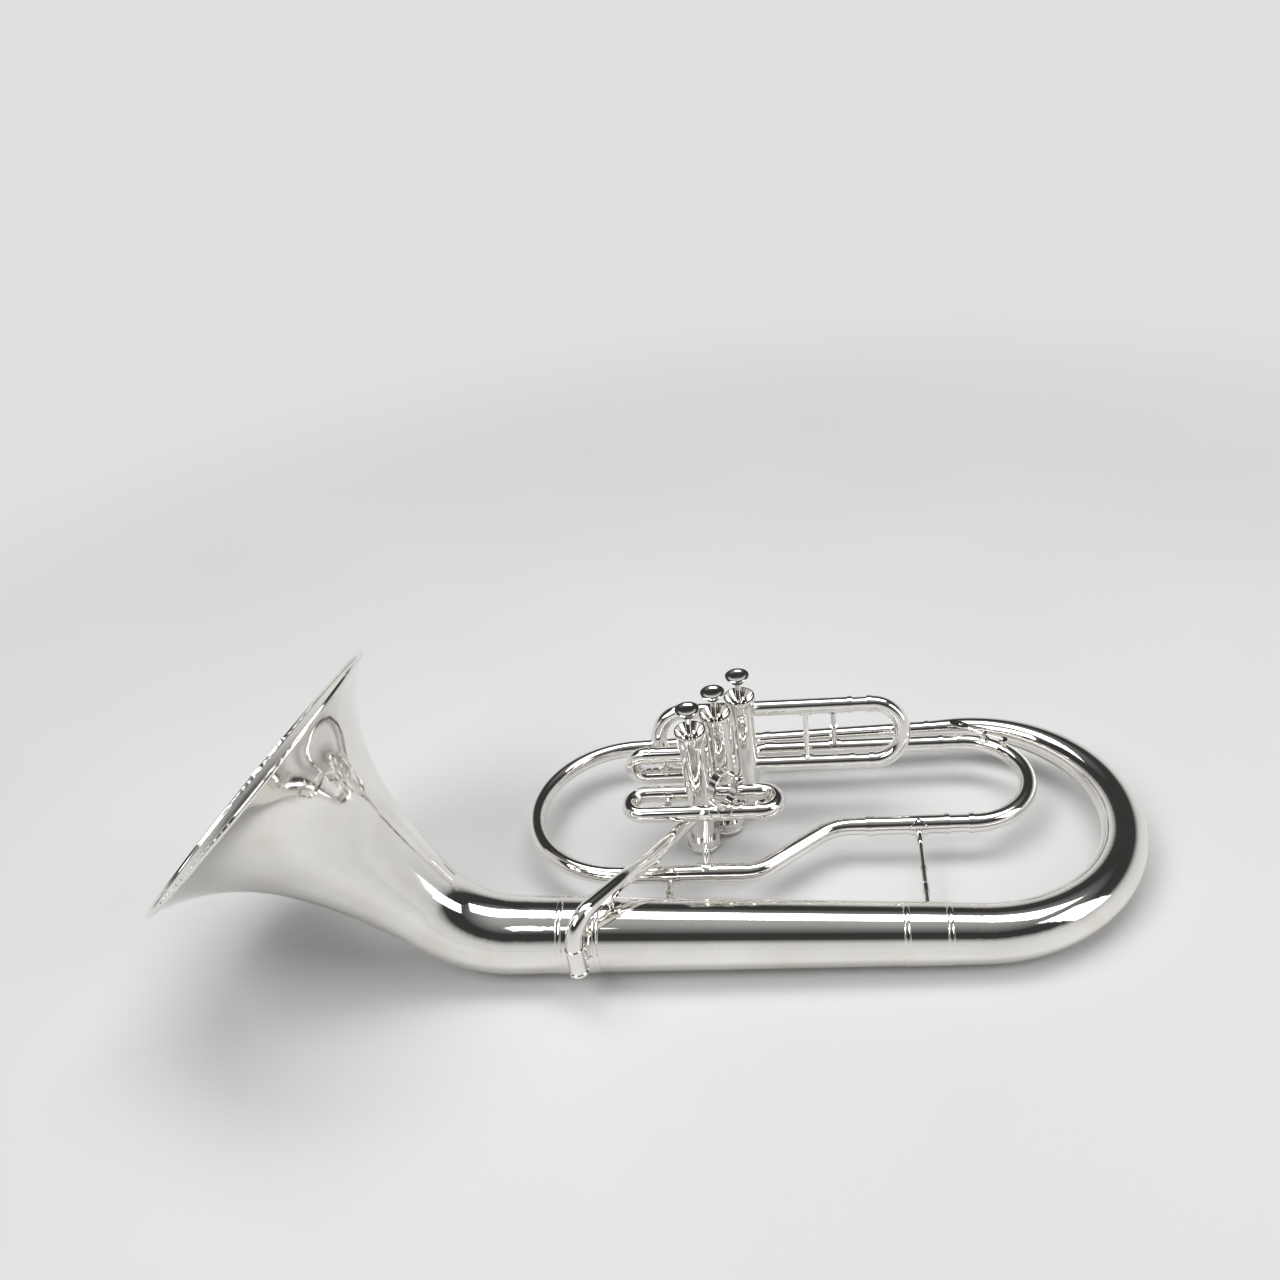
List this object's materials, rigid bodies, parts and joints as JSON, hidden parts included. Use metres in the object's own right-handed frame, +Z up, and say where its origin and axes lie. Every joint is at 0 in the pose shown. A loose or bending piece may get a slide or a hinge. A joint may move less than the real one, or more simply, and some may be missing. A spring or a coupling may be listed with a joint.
{
  "type": "baritone horn",
  "caption": "Three-valve baritone horn, silver-plated, with a forward-leaning bell, four tuning slides and a water key; the mouthpiece goes into the receiver",
  "frame": {"origin": "centre of the mouthpiece receiver's mouth, on the axis of its bore", "axes": "+X along the horn from the bell end to the bottom bow, which is its longest extent; +Z up, along the valves, with the mouthpiece going in along +Z; +Y from the bell stem to the far side of the branch"},
  "size_m": [0.7822, 0.3608, 0.2715],
  "materials": {
    "silver": "polished silver plate over brass",
    "piston_nickel": "lapped nickel",
    "felt": "dense wool felt",
    "spring_steel": "bright spring wire",
    "cork": "fine natural cork"
  },
  "bodies": {
    "horn": {"mouthpiece_receiver": "silver", "leadpipe": "silver", "valve_knuckles": "silver", "first_slide_loop": "silver", "first_slide_sleeve": "silver", "second_slide_sleeves": "silver", "third_slide_sleeves": "silver", "exit_tube": "silver", "tuning_high_sleeve": "silver", "tuning_low_sleeve": "silver", "s_bend": "silver", "left_bow": "silver", "top_branch": "silver", "branch_ferrules": "silver", "bottom_bow": "silver", "bell_stem": "silver", "stem_ferrules": "silver", "bell": "silver", "long_brace": "silver", "branch_brace": "silver", "stem_brace": "silver", "third_slide_braces": "silver", "slide_braces": "silver", "top_ties": "silver", "leadpipe_brace": "silver", "finger_ring": "silver", "first_valve_casing": "silver", "first_top_cap": "silver", "first_bottom_cap": "silver", "first_valve_spring": "spring_steel", "second_valve_casing": "silver", "second_top_cap": "silver", "second_bottom_cap": "silver", "second_valve_spring": "spring_steel", "third_valve_casing": "silver", "third_top_cap": "silver", "third_bottom_cap": "silver", "third_valve_spring": "spring_steel"},
    "first_valve": {"first_piston": "piston_nickel", "first_valve_stem": "silver", "first_finger_button": "silver", "first_valve_felts": "felt"},
    "second_valve": {"second_piston": "piston_nickel", "second_valve_stem": "silver", "second_finger_button": "silver", "second_valve_felts": "felt"},
    "third_valve": {"third_piston": "piston_nickel", "third_valve_stem": "silver", "third_finger_button": "silver", "third_valve_felts": "felt"},
    "first_slide": {"first_slide_crook": "silver"},
    "second_slide": {"second_slide_crook": "silver"},
    "third_slide": {"third_slide_crook": "silver"},
    "tuning_slide": {"tuning_crook": "silver", "water_key_saddle": "silver", "water_key_pin": "piston_nickel", "water_key_spring": "spring_steel"},
    "water_key": {"water_key_lever": "silver", "water_key_cork": "cork"}
  },
  "joints": [
    {"name": "first_valve_press", "type": "slide", "parent": "horn", "child": "first_valve", "axis": [0, 0, -1], "range_m": [0, 0.016], "stiffness_N_per_m": 90, "springref_m": -0.028, "deforming": ["first_valve_spring"]},
    {"name": "second_valve_press", "type": "slide", "parent": "horn", "child": "second_valve", "axis": [0, 0, -1], "range_m": [0, 0.016], "stiffness_N_per_m": 90, "springref_m": -0.028, "deforming": ["second_valve_spring"]},
    {"name": "third_valve_press", "type": "slide", "parent": "horn", "child": "third_valve", "axis": [0, 0, -1], "range_m": [0, 0.016], "stiffness_N_per_m": 90, "springref_m": -0.028, "deforming": ["third_valve_spring"]},
    {"name": "first_slide_pull", "type": "slide", "parent": "horn", "child": "first_slide", "axis": [1, 0, 0], "range_m": [0, 0.02]},
    {"name": "second_slide_pull", "type": "slide", "parent": "horn", "child": "second_slide", "axis": [-1, 0, 0], "range_m": [0, 0.028]},
    {"name": "third_slide_pull", "type": "slide", "parent": "horn", "child": "third_slide", "axis": [1, 0, 0], "range_m": [0, 0.045]},
    {"name": "tuning_slide_pull", "type": "slide", "parent": "horn", "child": "tuning_slide", "axis": [1, 0, 0], "range_m": [0, 0.024]},
    {"name": "water_key_hinge", "type": "hinge", "parent": "tuning_slide", "child": "water_key", "pos_m": [0.3339, 0.25058, 0.01821], "axis": [-0.5, -0.866, 0], "range_deg": [0, 14], "stiffness_Nm_per_rad": 0.02, "springref_deg": -34.38}
  ]
}
